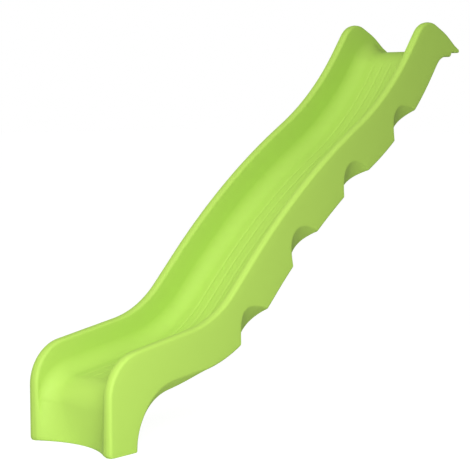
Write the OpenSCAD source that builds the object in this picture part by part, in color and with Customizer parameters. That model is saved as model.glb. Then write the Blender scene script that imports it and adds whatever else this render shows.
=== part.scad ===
// Straight wave slide for a raised deck.
// Hollow twin-wall body: an upper shell with the running surface, the rims and
// the side walls, and a lower shell that closes the underside.
// Origin: middle of the deck screw holes, on the seat of the deck flange.
// +Y runs up the slide towards the deck, +X is to the right seen from the
// exit, +Z is up.

/* [Overall] */
// Height of the deck above the ground
deck_h = 1500; // [1250:10:1800]
// Outside width of the body
slide_w = 450; // [375:5:540]
// Width of the top of each side rim
rim_w = 40; // [34:1:50]
// Thickness of each moulded shell
wall = 4; // [3:0.5:5]

/* [Side view] */
// Height at which the upright front edge would meet the line of the run-out rim
front_h = 350; // [290:5:420]
// Slope of the rim over the run-out
runout_angle = 8.7; // [5:0.1:11]
// Length of the run-out rim between its two corners
runout_len = 572; // [480:5:690]
// Slope of the lower stretch
lower_angle = 45.2; // [40:0.1:48]
// Slope of the middle stretch
middle_angle = 30.1; // [27:0.1:34]
// Slope of the upper stretch
upper_angle = 52.8; // [48:0.1:56]
// Length of the lower stretch against the other two
lower_part = 720; // [650:5:800]
// Length of the middle stretch against the other two
middle_part = 713; // [680:5:780]
// Length of the upper stretch against the other two
upper_part = 443; // [430:5:530]
// Radius of the front corner of the rim
front_r = 164; // [130:2:190]
// Radius of the valley between run-out and slope
valley_r = 410; // [340:5:480]
// Radius of the crest between the lower and the middle stretch
crest_r = 3200; // [2000:50:3400]
// Radius of the valley between the middle and the upper stretch
upper_valley_r = 1260; // [1000:20:1400]

/* [Hump beside the deck] */
// Height of the hump's corner above the deck
hump_h = 159; // [130:1:190]
// Radius over the top of the hump
hump_r = 105; // [80:1:125]
// First slope down from the hump
fall_angle = 24; // [18:0.5:28]
// Height of the rim's tip above the top of the flange
tip_h = 6.5; // [6:0.5:12]
// Distance from the hump's corner to the change of slope
fall_len = 165; // [150:5:190]
// Radius at the change of slope
fall_r = 350; // [200:10:400]
// Distance from the hump's corner to the back edge
tail_len = 268; // [250:2:300]

/* [Chute] */
// Depth of the chute below the rim on the slope
chute_depth = 158; // [130:1:170]
// Depth of the chute below the rim at the run-out
exit_depth = 133; // [110:1:145]
// How far the front wall stands back behind the side cheeks
front_setback = 68; // [55:1:80]
// Radius of the lip over the front wall
lip_r = 105; // [80:1:115]
// Radius of the hollow between pan and side walls
hollow_r = 60; // [45:1:72]
// Radius of the rim's shoulders
rim_r = 12; // [8:0.5:15]
// Radius where the pan turns level at the deck
brow_r = 150; // [100:5:200]

/* [Underside] */
// Depth of the body below the rim on the slope
body_depth = 199; // [190:1:230]
// Depth of the body below the rim at the run-out
runout_body_depth = 168; // [160:1:190]
// Depth of the foot, front to back
foot_len = 130; // [115:1:150]
// Radius of the arch behind the foot
arch_r = 222; // [190:2:226]
// How much higher the arch is cut in the side walls
arch_lift = 14; // [8:1:24]
// Reach of that cut under the arch
arch_reach = 4; // [2:1:12]
// Size of the bevel along the lower edges
edge_bevel = 7; // [5:0.5:9]
// Number of hand scoops along each side
scoop_count = 4; // [3:1:4]
// Length of a scoop
scoop_len = 206; // [170:2:240]
// Height of a scoop on the side wall
scoop_h = 104; // [80:1:115]
// Reach of a scoop into the underside
scoop_reach = 62; // [45:1:75]
// Distance along the underside from the ground to the first scoop
scoop_start = 712; // [690:2:740]

/* [Deck flange] */
// Length of the flange that lies on the deck
flange_len = 63; // [55:1:80]
// Drop of the ledge below the deck's top
ledge_drop = 16; // [12:1:24]
// Radius of the curve into the ledge
ledge_r = 100; // [70:5:130]
// Distance between neighbouring deck screws
screw_pitch = 110; // [90:1:112]
// Number of deck screws
screw_count = 3; // [2:1:3]
// Distance from the back edge to the screw line
screw_inset = 30; // [26:1:34]
// Bore of a deck bush
bush_bore = 9; // [7:0.5:11]
// Wall of a deck bush
bush_wall = 2.5; // [2:0.5:3]
// Diameter of the head of a deck bush
bush_head_d = 24; // [22:1:28]
// Thickness of the head of a deck bush
bush_head_t = 1.5; // [1:0.5:2]

/* [Plugs and drains] */
// Diameter of a blow hole in the underside
vent_d = 16; // [12:1:20]
// Diameter of a plug's head
plug_head_d = 25; // [23:1:30]
// Thickness of a plug's head
plug_head_t = 3; // [2:0.5:4]
// Length of a plug's shank beyond the shell
plug_grip = 5; // [4:0.5:7]
// Depth of the slot in a plug's head
plug_slot = 1.2; // [0.8:0.1:1.6]
// Bore of a drain hole in the sole
drain_d = 8; // [6:0.5:10]

/* [Hidden] */
// Clearance along the welded seams
seam_gap = 0.2;
// Clearance round the bushes and plugs
fit_gap = 0.1;
// Chamfer of a plug's head, and width and length share of its slot
plug_chamfer = 1.5;
slot_w = 2;
slot_share = 0.6;
// Overhang, place and taper of the ring that catches a plug
catch_over = 0.8;
catch_at = 1.2;
catch_taper = 1;
// Overlap that makes a cut pass right through
through = 1;
// Radii of the two corners in the step behind the ledge
step_top_r = 2;
step_r = wall + step_top_r;
// Radius where the rim runs out level at its tip
tip_r = 20;
// Shares of the level stretch at which the pan has a station, and the size of those corners
level_marks = [0.55, 0.8];
level_r = [20, 16];
// Most of the rim's depth that its shoulder takes
shoulder_share = 0.45;
// Least share of the side's height that lies under the foot of the wall
foot_share = 0.2;
// Plain stretch between the last rib and the curve into the ledge
top_land = 46;
// How far the cut along the arch runs on under the run-out
arch_tail = 110;
// Smallest radius inside a shoulder, and least plain wall between shoulder and hollow
least_r = 0.2;
hollow_land = 0.5;
// Half of the flat left in the middle of the front wall at the ground
mid_flat = 5;
// Steps of the shoulder and hollow arcs across the body
shoulder_steps = 3;
hollow_steps = 5;
// Steps of one scoop and of one rib between scoops
scoop_steps = 8;
tooth_steps = 2;
green = [0.62, 0.80, 0.27];
steel = [0.75, 0.76, 0.78];

// ---- outline corners, as [y, z, corner radius], seen from the side ----

function dir(a) = [cos(a), sin(a)];
function up_normal(v) = [-v[1], v[0]];
function corner(p, r) = [p[0], p[1], r];
function plain(p) = [p[0], p[1]];

// Corner where line (p, slope a) meets line (q, slope b)
function meet(p, a, q, b) =
    let (d = dir(a), e = dir(b), w = q - p)
    p + d * ((w[0] * e[1] - w[1] * e[0]) / (d[0] * e[1] - d[1] * e[0]));

// The three stretches share the climb from the run-out to the hump's corner
climb = deck_h + hump_h - front_h - runout_len * sin(runout_angle);
part_climb = lower_part * sin(lower_angle) + middle_part * sin(middle_angle)
    + upper_part * sin(upper_angle);
stretch = climb / part_climb;

// Top of the flange, which is also the level end of the pan
pan_z = deck_h + 2 * wall + seam_gap;

rim1 = [0, front_h];
rim2 = rim1 + runout_len * dir(runout_angle);
rim3 = rim2 + stretch * lower_part * dir(lower_angle);
rim4 = rim3 + stretch * middle_part * dir(middle_angle);
rim5 = rim4 + stretch * upper_part * dir(upper_angle);
rim6 = rim5 + fall_len * [1, -tan(fall_angle)];
back_y = rim5[0] + tail_len;
rim_end = [back_y, pan_z + tip_h];
rim7 = (rim6 + 2 * rim_end) / 3;

RIM = [[0, 0, 0], corner(rim1, front_r), corner(rim2, valley_r),
    corner(rim3, crest_r * stretch), corner(rim4, upper_valley_r * stretch),
    corner(rim5, hump_r), corner(rim6, fall_r), corner(rim7, tip_r), corner(rim_end, 0)];

// Line of a rim stretch set down by a depth, as a point on it
function set_down(p, a, depth) = p - depth * up_normal(dir(a));

ledge_z = deck_h - ledge_drop;
ledge_end = back_y - flange_len;

// Corners of a line that runs below the rim, as far as its upper stretch
function below(front_y, d1, d2, r1, top_z, top_r) =
    let (p1 = set_down(rim1, runout_angle, d1),
        p2 = set_down(rim2, lower_angle, d2),
        p3 = set_down(rim3, middle_angle, d2),
        p4 = set_down(rim4, upper_angle, d2))
    [[front_y, 0, 0],
    corner(meet([front_y, 0], 90, p1, runout_angle), r1),
    corner(meet(p1, runout_angle, p2, lower_angle), valley_r + d2),
    corner(meet(p2, lower_angle, p3, middle_angle), crest_r * stretch - d2),
    corner(meet(p3, middle_angle, p4, upper_angle), upper_valley_r * stretch + d2),
    corner(meet(p4, upper_angle, [0, top_z], 0), top_r)];

pan_corners = below(front_setback, exit_depth, chute_depth, lip_r, pan_z, brow_r);
brow_y = pan_corners[5][0];
brow_run = back_y - brow_y;
PAN = concat(pan_corners,
    [for (i = [0, 1]) [brow_y + brow_run * level_marks[i], pan_z, level_r[i]]],
    [[back_y, pan_z, 0]]);

under_corners = below(foot_len, runout_body_depth, body_depth, arch_r, ledge_z, ledge_r);
UNDER = concat(under_corners, [[ledge_end, ledge_z, step_r],
    [ledge_end, deck_h, step_top_r], [back_y, deck_h, 0]]);

// ---- rounded lines: pieces 0, 2, 4.. are straight, 1, 3, 5.. are corners ----

function unit(v) = v / norm(v);
function cross2(a, b) = a[0] * b[1] - a[1] * b[0];
function turn(c, i) =
    let (u = unit(plain(c[i] - c[i - 1])), v = unit(plain(c[i + 1] - c[i])))
    atan2(cross2(u, v), u * v);
function is_flat(c, i) = abs(turn(c, i)) < 0.5;
// Distance from a corner to the start of its arc; a flat corner has half its radius
function tangent(c, i) =
    i == 0 || i == len(c) - 1 ? 0 :
    is_flat(c, i) ? c[i][2] / 2 : c[i][2] * tan(abs(turn(c, i)) / 2);
function piece_ends(c, i) =
    let (u = unit(plain(c[i + 1] - c[i])))
    [plain(c[i]) + u * tangent(c, i), plain(c[i + 1]) - u * tangent(c, i + 1)];
function piece_length(c, k) =
    let (i = floor(k / 2))
    k % 2 == 0 ? norm(piece_ends(c, i)[1] - piece_ends(c, i)[0]) :
    is_flat(c, i + 1) ? c[i + 1][2] :
    c[i + 1][2] * abs(turn(c, i + 1)) * PI / 180;

// Point and upward normal at fraction f of piece k, as [point, normal]
function at(c, k, f) =
    let (i = floor(k / 2))
    k % 2 == 0 || is_flat(c, i + 1) ? on_line(c, k, i, f) : on_arc(c, i + 1, f);
function on_line(c, k, i, f) =
    let (a = k % 2 == 0 ? piece_ends(c, i)[0] : piece_ends(c, i)[1],
        b = k % 2 == 0 ? piece_ends(c, i)[1] : piece_ends(c, i + 1)[0])
    [a + (b - a) * f, up_normal(unit(b - a))];
function on_arc(c, i, f) =
    let (t = turn(c, i),
        u = unit(plain(c[i] - c[i - 1])),
        start = plain(c[i]) - u * tangent(c, i),
        centre = start + up_normal(u) * c[i][2] * sign(t),
        a = atan2(u[1], u[0]) + t * f,
        n = up_normal(dir(a)))
    [centre - n * c[i][2] * sign(t), n];

PIECES = 15;
under_len = [for (k = [0:PIECES - 1]) piece_length(UNDER, k)];
function run_sum(v, n) = n <= 0 ? 0 : v[n - 1] + run_sum(v, n - 1);
under_at = [for (k = [0:PIECES]) run_sum(under_len, k)];
// Station [piece, fraction] at a distance along the underside
function station_at(s) =
    let (k = max([for (j = [0:PIECES - 1]) if (under_at[j] <= s) j]))
    [k, (s - under_at[k]) / under_len[k]];
function distance_of(st) = under_at[st[0]] + st[1] * under_len[st[0]];

// ---- stations from the ground to the back edge ----

// Fraction of the first piece that is as high as the sole plate needs
foot_f = 2 * wall / piece_length(PAN, 0);
// Length of the front wall above that, round the lip
front_len = piece_length(PAN, 0) * (1 - foot_f) + piece_length(PAN, 1);
scoop_end = under_at[9] - top_land;
scoop_pitch = (scoop_end - scoop_start) / scoop_count;
tooth_len = scoop_pitch - scoop_len;
function fractions(k, n) = [for (i = [0:n - 1]) [k, i / n]];
function spaced(a, b, n) = [for (i = [0:n - 1]) station_at(a + (b - a) * i / n)];
STATIONS = concat(
    [[0, 0], [0, foot_f], [0, 0.5]], fractions(1, 7), fractions(2, 2),
    spaced(under_at[3], scoop_start, 3),
    [for (k = [0:scoop_count - 1])
        let (s = scoop_start + k * scoop_pitch)
        each concat(spaced(s, s + scoop_len, scoop_steps),
            spaced(s + scoop_len, s + scoop_pitch, tooth_steps))],
    spaced(scoop_end, under_at[9], 1),
    fractions(9, 7), fractions(10, 1), fractions(11, 4), fractions(12, 1),
    fractions(13, 1), fractions(14, 2), [[14, 1]]);

// Round bump from 0 at both ends of a stretch to 1 in its middle
function bump(s, len) =
    let (u = s / len * 2 - 1) abs(u) >= 1 ? 0 : 1 - u * u;
// Size of the scoop at a station: 1 in its middle, 0 on the ribs between
function scoop(st) =
    let (s = distance_of(st) - scoop_start, k = floor(s / scoop_pitch))
    s < 0 || k >= scoop_count ? 0 : bump(s - k * scoop_pitch, scoop_len);
// The same for the cut along the arch
function arch_cut(st) = bump(distance_of(st), under_at[2] + arch_tail);
// Height of the side wall's foot above the underside, and width of the slant below it
function foot_rise(st, tall) =
    min(edge_bevel, tall * foot_share) + (scoop_h - edge_bevel) * scoop(st) + arch_lift * arch_cut(st);
function foot_reach(st) =
    edge_bevel + (scoop_reach - edge_bevel) * scoop(st) + arch_reach * arch_cut(st);

// ---- cross-sections ----

half_w = slide_w / 2;
inner_x = half_w - rim_w;

// Point in the model's frame from x and a side-view point
function place(x, p) = [x, p[0] - back_y + screw_inset, p[1] - deck_h];

// Arc across the body: half width rx and height rz about x = cx at the side-view point p
function arc(cx, rx, rz, a0, a1, p, n, steps) =
    [for (i = [0:steps])
        let (a = a0 + (a1 - a0) * i / steps)
        place(cx + rx * cos(a), p + n * rz * sin(a))];

// Half of the flange's width that the heads of the outer bushes need
head_reach = (screw_count - 1) / 2 * screw_pitch + bush_head_d / 2 + hollow_land;

// The hollow beside the pan opens out over the front wall, to the whole width at the ground.
// On the flange, past the step under it, it ends beside the heads of the bushes.
SEAT = PIECES - 1;
function hollow_width(st) = st[0] == SEAT ? min(hollow_r, inner_x - head_reach) : open_hollow(st);
function open_hollow(st) =
    let (run = st[0] == 0 ? (st[1] - foot_f) * piece_length(PAN, 0) :
        st[0] == 1 ? front_len - (1 - st[1]) * piece_length(PAN, 1) : front_len,
        f = 1 - max(run, 0) / front_len)
    hollow_r + (inner_x - mid_flat - hollow_r) * f * f;

// Right half of the upper shell's surface, set in by t, from the seam in the
// underside round the outer wall and the rim to the edge of the pan
function upper_half(st, t) =
    let (rim = at(RIM, st[0], st[1]), pan = at(PAN, st[0], st[1]),
        under = at(UNDER, st[0], st[1]),
        tall = norm(rim[0] - under[0]), deep = norm(rim[0] - pan[0]),
        r = min(rim_r, deep * shoulder_share), ri = max(r - t, least_r),
        top = rim[0] - rim[1] * (t + ri),
        h = min(hollow_r, deep - max(r, wall + least_r) - hollow_land), w = hollow_width(st),
        floor_c = pan[0] + pan[1] * h,
        up = st[0] < 9 ? under[1] : unit(rim[0] - under[0]),
        rise = foot_rise(st, tall), reach = foot_reach(st),
        seam_x = half_w - reach, slant = rise / reach, lift = t * sqrt(1 + slant * slant))
    concat([place(seam_x, under[0] + up * lift),
        place(half_w - t, under[0] + up * ((reach - t) * slant + lift))],
        arc(half_w - t - ri, ri, ri, 0, 90, top, rim[1], shoulder_steps),
        arc(inner_x + t + ri, ri, ri, 90, 180, top, rim[1], shoulder_steps),
        arc(inner_x - w, w + t, h + t, 0, -90, floor_c, pan[1], hollow_steps));

function flip_x(v) = [for (i = [len(v) - 1:-1:0]) [-v[i][0], v[i][1], v[i][2]]];
function both_sides(v) = concat(v, flip_x(v));
function backwards(v) = [for (i = [len(v) - 1:-1:0]) v[i]];
function upper_ring(st) =
    concat(both_sides(upper_half(st, 0)), backwards(both_sides(upper_half(st, wall))));

// Right edge of the lower shell's surface, set in by t
function lower_half(st, t) =
    let (under = at(UNDER, st[0], st[1]))
    [place(half_w - foot_reach(st) - seam_gap, under[0] + under[1] * t)];
function lower_ring(st) =
    concat(both_sides(lower_half(st, 0)), backwards(both_sides(lower_half(st, wall))));

// Closed solid from equal rings of points. Each ring lists an outer and an
// inner line, so that it is capped by the strip between them.
module skin(rings) {
    n = len(rings[0]);
    last = len(rings) - 1;
    half = n / 2;
    sides = [for (i = [0:last - 1], j = [0:n - 1])
        let (a = i * n + j, b = i * n + (j + 1) % n, c = a + n, d = b + n)
        each [[a, b, d], [a, d, c]]];
    caps = [for (j = [0:half - 2])
        let (a = j, b = j + 1, c = n - 1 - j, d = n - 2 - j, e = last * n)
        each [[a, c, b], [b, c, d], [a + e, b + e, c + e], [b + e, d + e, c + e]]];
    polyhedron(points = [for (r = rings) each r], faces = concat(sides, caps), convexity = 8);
}

// ---- screw line and plugs ----

screw_x = [for (i = [0:screw_count - 1]) (i - (screw_count - 1) / 2) * screw_pitch];
flange_t = 2 * wall + seam_gap;
bush_d = bush_bore + 2 * bush_wall;

module at_screws() {
    for (x = screw_x) translate([x, 0, 0]) children();
}

// Plugs sit in the middle of the lowest and of the highest rib
plug_at = [for (k = [1, scoop_count - 1]) scoop_start + k * scoop_pitch - tooth_len / 2];

module at_vents() {
    for (s = plug_at) {
        st = station_at(s);
        p = at(UNDER, st[0], st[1]);
        translate(place(0, p[0])) rotate([atan2(p[1][1], p[1][0]) - 90, 0, 0]) children();
    }
}

// ---- sub-parts ----

module upper_shell() {
    color(green) difference() {
        skin([for (st = STATIONS) upper_ring(st)]);
        at_screws() translate([0, 0, -through])
            cylinder(d = bush_d + 2 * fit_gap, h = flange_t + 2 * through, $fn = 48);
    }
}

module lower_shell() {
    color(green) difference() {
        skin([for (st = STATIONS) lower_ring(st)]);
        at_screws() translate([0, 0, -through])
            cylinder(d = bush_d + 2 * fit_gap, h = wall + 2 * through, $fn = 48);
        at_vents() translate([0, 0, -through])
            cylinder(d = vent_d, h = wall + 2 * through, $fn = 48);
    }
}

// Plate that closes the bottom of the hollow foot
module sole_plate() {
    edge = upper_half([0, 0], wall + seam_gap);
    seam_x = edge[0][0] - seam_gap;
    back = foot_len - wall - seam_gap - back_y + screw_inset;
    outline = both_sides(concat([[seam_x, back, 0], [seam_x, edge[0][1], 0]],
        [for (i = [1:len(edge) - 1]) edge[i]]));
    color(green) translate([0, 0, -deck_h]) difference() {
        linear_extrude(wall) polygon([for (p = outline) plain(p)]);
        for (s = [-1, 1])
            translate([s * (half_w - rim_w / 2), foot_len / 2 - back_y + screw_inset, -through])
                cylinder(d = drain_d, h = wall + 2 * through, $fn = 32);
    }
}

// Flanged sleeves that take the clamping load of the deck screws
module deck_bushes() {
    color(steel) at_screws() difference() {
        union() {
            cylinder(d = bush_d, h = flange_t + bush_head_t, $fn = 48);
            translate([0, 0, flange_t]) cylinder(d = bush_head_d, h = bush_head_t, $fn = 48);
        }
        translate([0, 0, -through])
            cylinder(d = bush_bore, h = flange_t + bush_head_t + 2 * through, $fn = 48);
    }
}

// Push-in plugs that close the blow holes: head, shank and catch ring
module vent_plugs() {
    shank_r = vent_d / 2 - fit_gap;
    head_r = plug_head_d / 2;
    color(green) at_vents() difference() {
        rotate_extrude($fn = 48) polygon([[0, -plug_head_t], [head_r - plug_chamfer, -plug_head_t],
            [head_r, plug_chamfer - plug_head_t], [head_r, -seam_gap],
            [shank_r, -seam_gap], [shank_r, wall + seam_gap],
            [shank_r + catch_over, wall + catch_at],
            [shank_r - catch_taper, wall + plug_grip], [0, wall + plug_grip]]);
        translate([0, 0, -plug_head_t])
            cube([plug_head_d * slot_share, slot_w, 2 * plug_slot], center = true);
    }
}

upper_shell();
lower_shell();
sole_plate();
deck_bushes();
vent_plugs();
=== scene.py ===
import math

import bmesh
import bpy
import numpy as np
from mathutils import Matrix, Vector


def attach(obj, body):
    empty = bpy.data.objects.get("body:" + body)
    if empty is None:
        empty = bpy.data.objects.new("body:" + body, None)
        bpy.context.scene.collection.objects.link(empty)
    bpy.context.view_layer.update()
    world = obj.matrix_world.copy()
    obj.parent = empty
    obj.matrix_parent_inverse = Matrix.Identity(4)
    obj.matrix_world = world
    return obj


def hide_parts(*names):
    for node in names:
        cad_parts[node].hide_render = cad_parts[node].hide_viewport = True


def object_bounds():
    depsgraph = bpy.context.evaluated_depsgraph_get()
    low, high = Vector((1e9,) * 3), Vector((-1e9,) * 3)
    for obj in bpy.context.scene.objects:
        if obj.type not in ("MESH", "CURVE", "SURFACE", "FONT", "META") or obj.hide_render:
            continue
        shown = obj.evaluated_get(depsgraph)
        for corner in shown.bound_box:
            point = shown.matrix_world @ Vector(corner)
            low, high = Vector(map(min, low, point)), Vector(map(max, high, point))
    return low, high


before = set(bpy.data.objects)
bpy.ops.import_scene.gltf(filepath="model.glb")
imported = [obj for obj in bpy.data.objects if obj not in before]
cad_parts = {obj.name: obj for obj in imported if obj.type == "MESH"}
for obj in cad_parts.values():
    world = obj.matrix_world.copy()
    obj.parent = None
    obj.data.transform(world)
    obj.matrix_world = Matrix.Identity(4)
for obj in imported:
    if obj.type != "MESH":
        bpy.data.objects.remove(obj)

bl_info = {
    "name": "Playground Slide",
    "version": (1, 0, 0),
    "blender": (4, 5, 0),
    "location": "3D View > Sidebar > Slide",
    "description": "Builds a moulded wave slide with its deck flange, bushes and plugs",
    "category": "Add Mesh",
}

CAD_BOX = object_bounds()
LOW, HIGH = (np.array(end) for end in CAD_BOX)
FOOT_Z = float(LOW[2])
BACK_Y = float(HIGH[1])
FULL_W = float(HIGH[0] - LOW[0])
GREEN = (0.385, 0.610, 0.080)
STEEL = (0.56, 0.57, 0.58)

# Numbers of the spans, straight or round, after the first bend and of the bend beside the deck
FIRST_BEND_END = 2
TOP_BEND_START = 9

# Steps between slices on the slopes and in tight corners, and height and number of the rows on the ground
COARSE_STEP = 0.015
FINE_STEP = 0.0075
FOOT_EDGE = 0.008
FOOT_ROWS = 8

# Steps beside each end of a rib, and how close a slice may come to its neighbours
RIB_STEP = 0.0028
RIB_STEPS = 6
LEAST_STEP = 0.0016
LEAST_LAST_STEP = 0.0012
LAST_ROW = 0.003

# Shares of the level stretch at which the pan has a station, each with its length
LEVEL_MARKS = ((0.55, 0.020), (0.80, 0.016))

# Radii in the step behind the ledge and where the rim runs out to its tip
STEP_TOP_R = 0.002
SETTLE_R = 0.020

# Points across half the running surface, those beyond it that grooves may reach, and how far they run on
FLOOR_STEPS = 46
EDGE_STEPS = 6
GROOVE_OVERRUN = 0.03

# Smallest radius inside a shoulder, plain wall at a hollow, and shares of the depth that each may take
LEAST_R = 0.0002
HOLLOW_LAND = 0.0005
FRONT_LAND = 0.004
SHOULDER_SHARE = 0.45
AT_DECK_SHARE = 0.5

# The front wall's dish: where it leaves the shoulder, how its points spread and how softly it starts
DISH_SHOULDER = 1.3
DISH_SPREAD = 1.3
DISH_SOFT = 2e-5


# ---- settings that a user would change ----

def length(name, description, default, **more):
    """A size in metres."""
    return bpy.props.FloatProperty(
        name=name, description=description, default=default, min=0.0,
        unit="LENGTH", subtype="DISTANCE", precision=4, **more)


def turn(name, description, degrees):
    """An angle, given in degrees."""
    return bpy.props.FloatProperty(
        name=name, description=description, default=math.radians(degrees), unit="ROTATION", subtype="ANGLE")


def share(name, description, default):
    """A number from 0 to 1."""
    return bpy.props.FloatProperty(
        name=name, description=description, default=default, min=0.0, max=1.0, subtype="FACTOR")


def colour(name, description, default):
    """A linear colour."""
    return bpy.props.FloatVectorProperty(
        name=name, description=description, default=default, size=3, min=0.0, max=1.0, subtype="COLOR")


class SlideBodySettings(bpy.types.PropertyGroup):
    """Sizes of the moulded body."""

    deck_h: length("Deck height", "Height of the deck above the ground", -FOOT_Z)
    width: length("Width", "Outside width of the body", FULL_W)
    rim_w: length("Rim width", "Width of the top of each side rim", 0.040)
    wall: length("Wall", "Thickness of each moulded shell", 0.004)
    seam: length("Seam", "Clearance along the welded seams", 0.0002)
    front_h: length("Front height", "Height of the front corner of the rim", 0.350)
    runout_angle: turn("Run-out slope", "Slope of the rim over the run-out", 8.7)
    runout_len: length("Run-out length", "Length of the run-out rim", 0.572)
    lower_angle: turn("Lower slope", "Slope of the lower stretch", 45.2)
    middle_angle: turn("Middle slope", "Slope of the middle stretch", 30.1)
    upper_angle: turn("Upper slope", "Slope of the upper stretch", 52.8)
    lower_part: length("Lower stretch", "Length of the lower stretch against the others", 0.720)
    middle_part: length("Middle stretch", "Length of the middle stretch against the others", 0.713)
    upper_part: length("Upper stretch", "Length of the upper stretch against the others", 0.443)
    front_r: length("Front radius", "Radius of the front corner of the rim", 0.164)
    valley_r: length("Valley radius", "Radius between run-out and slope", 0.410)
    crest_r: length("Crest radius", "Radius between lower and middle stretch", 3.200)
    upper_valley_r: length("Upper valley radius", "Radius between middle and upper stretch", 1.260)
    hump_h: length("Hump height", "Height of the hump's corner above the deck", 0.159)
    hump_r: length("Hump radius", "Radius over the top of the hump", 0.116)
    fall_angle: turn("Fall slope", "First slope down from the hump", 24.0)
    tip_h: length("Tip height", "Height of the rim's tip above the flange", 0.0065)
    fall_len: length("Fall length", "From the hump's corner to the change of slope", 0.165)
    fall_r: length("Fall radius", "Radius at the change of slope", 0.350)
    tail_len: length("Tail length", "From the hump's corner to the back edge", 0.268)
    chute_depth: length("Chute depth", "Depth of the chute on the slope", 0.158)
    exit_depth: length("Exit depth", "Depth of the chute at the run-out", 0.133)
    front_setback: length("Front setback", "How far the front wall stands back", 0.068)
    lip_r: length("Lip radius", "Radius of the lip over the front wall", 0.105)
    hollow_r: length("Hollow radius", "Radius between pan and side walls", 0.060)
    rim_r: length("Shoulder radius", "Radius of the rim's shoulders", 0.012)
    crown: length("Rim crown", "How far the top of the rim is arched", 0.0012)
    brow_r: length("Brow radius", "Radius where the pan turns level", 0.150)
    body_depth: length("Body depth", "Depth of the body on the slope", 0.208)
    runout_body_depth: length("Run-out body depth", "Depth of the body at the run-out", 0.176)
    toe_r: length("Toe radius", "Radius of the rims' front corners on the ground", 0.012)
    heel_r: length("Heel radius", "Radius of the foot's back edge on the ground", 0.006)
    sole_r: length("Sole radius", "Radius of the foot's side edges on the ground", 0.002)
    foot_len: length("Foot length", "Depth of the foot, front to back", 0.1405)
    arch_r: length("Arch radius", "Radius of the arch behind the foot", 0.215)
    arch_lift: length("Arch lift", "How much higher the arch is cut in the walls", 0.010)
    arch_reach: length("Arch reach", "Reach of that cut under the arch", 0.019)
    belly: length("Belly", "How far the underside hangs down between the walls, behind the foot", 0.022)
    belly_start: length("Belly start", "Where the belly starts, along the underside", 0.120)
    belly_tail: length("Belly tail", "How far the belly runs on under the run-out", 0.190)
    bevel: length("Edge bevel", "Size of the bevel along the lower edges", 0.007)
    flange_len: length("Flange length", "Length of the flange on the deck", 0.063)
    ledge_drop: length("Ledge drop", "Drop of the ledge below the deck", 0.020)
    ledge_r: length("Ledge radius", "Radius of the curve into the ledge", 0.100)


class SlideScoopSettings(bpy.types.PropertyGroup):
    """Hand scoops along the lower edges and grooves in the running surface."""

    scoop_count: bpy.props.IntProperty(
        name="Scoops", description="Number of scoops along each side", default=4, min=1, max=6)
    scoop_start: length("First scoop", "From the ground to the first scoop, along the underside", 0.713)
    scoop_len: length("Scoop length", "Length of a scoop", 0.206)
    scoop_h: length("Scoop height", "Height of a scoop on the side wall", 0.104)
    scoop_reach: length("Scoop reach", "Reach of a scoop into the underside", 0.062)
    scoop_soft: share("Scoop softness", "How softly a scoop meets the ribs beside it", 0.03)
    top_land: length("Top land", "Plain stretch between the last rib and the ledge curve", 0.046)
    groove_count: bpy.props.IntProperty(
        name="Grooves", description="Number of wide grooves in the running surface", default=5, min=1, max=9)
    groove_pitch: length("Groove pitch", "Distance between neighbouring wide grooves", 0.046)
    groove_w: length("Groove width", "Width of a wide groove", 0.016)
    groove_depth: length("Groove depth", "Depth of a wide groove", 0.0024)
    line_w: length("Line width", "Width of a fine line between two grooves", 0.007)
    line_depth: length("Line depth", "Depth of a fine line", 0.0009)
    groove_fade: length("Groove fade", "Length over which a groove runs out", 0.06)


class SlideHardwareSettings(bpy.types.PropertyGroup):
    """Bushes in the deck flange and plugs in the underside."""

    screw_pitch: length("Screw pitch", "Distance between neighbouring deck screws", 0.110)
    screw_count: bpy.props.IntProperty(
        name="Screws", description="Number of deck screws", default=3, min=2, max=3)
    bush_bore: length("Bush bore", "Bore of a deck bush", 0.009)
    bush_wall: length("Bush wall", "Wall of a deck bush", 0.0025)
    bush_head_d: length("Bush head", "Diameter of the head of a deck bush", 0.024)
    bush_head_t: length("Bush head thickness", "Thickness of the head of a deck bush", 0.0015)
    vent_d: length("Blow hole", "Diameter of a blow hole in the underside", 0.016)
    plug_head_d: length("Plug head", "Diameter of a plug's head", 0.025)
    plug_head_t: length("Plug head thickness", "Thickness of a plug's head", 0.003)
    plug_slot_len: length("Plug slot length", "Length of the driver slot in a plug's head", 0.015)
    plug_slot_w: length("Plug slot width", "Width of that slot", 0.002)
    plug_slot_depth: length("Plug slot depth", "Depth of that slot", 0.0012)
    plug_grip: length("Plug grip", "Length of a plug's shank beyond the shell", 0.005)
    fit: length("Fit", "Clearance round bushes and plugs", 0.0001)


class SlideFinishSettings(bpy.types.PropertyGroup):
    """Colours and surface of the plastic and the steel."""

    plastic: colour("Plastic", "Colour of the moulded polyethylene", GREEN)
    plastic_rough: share("Plastic roughness", "Roughness of the moulded skin", 0.38)
    grain: length("Grain", "Size of the moulded grain", 0.0016)
    mottle: share("Mottle", "How much the pigment varies", 0.05)
    steel: colour("Steel", "Colour of the bushes", STEEL)
    steel_rough: share("Steel roughness", "Roughness of the bushes", 0.32)


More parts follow.
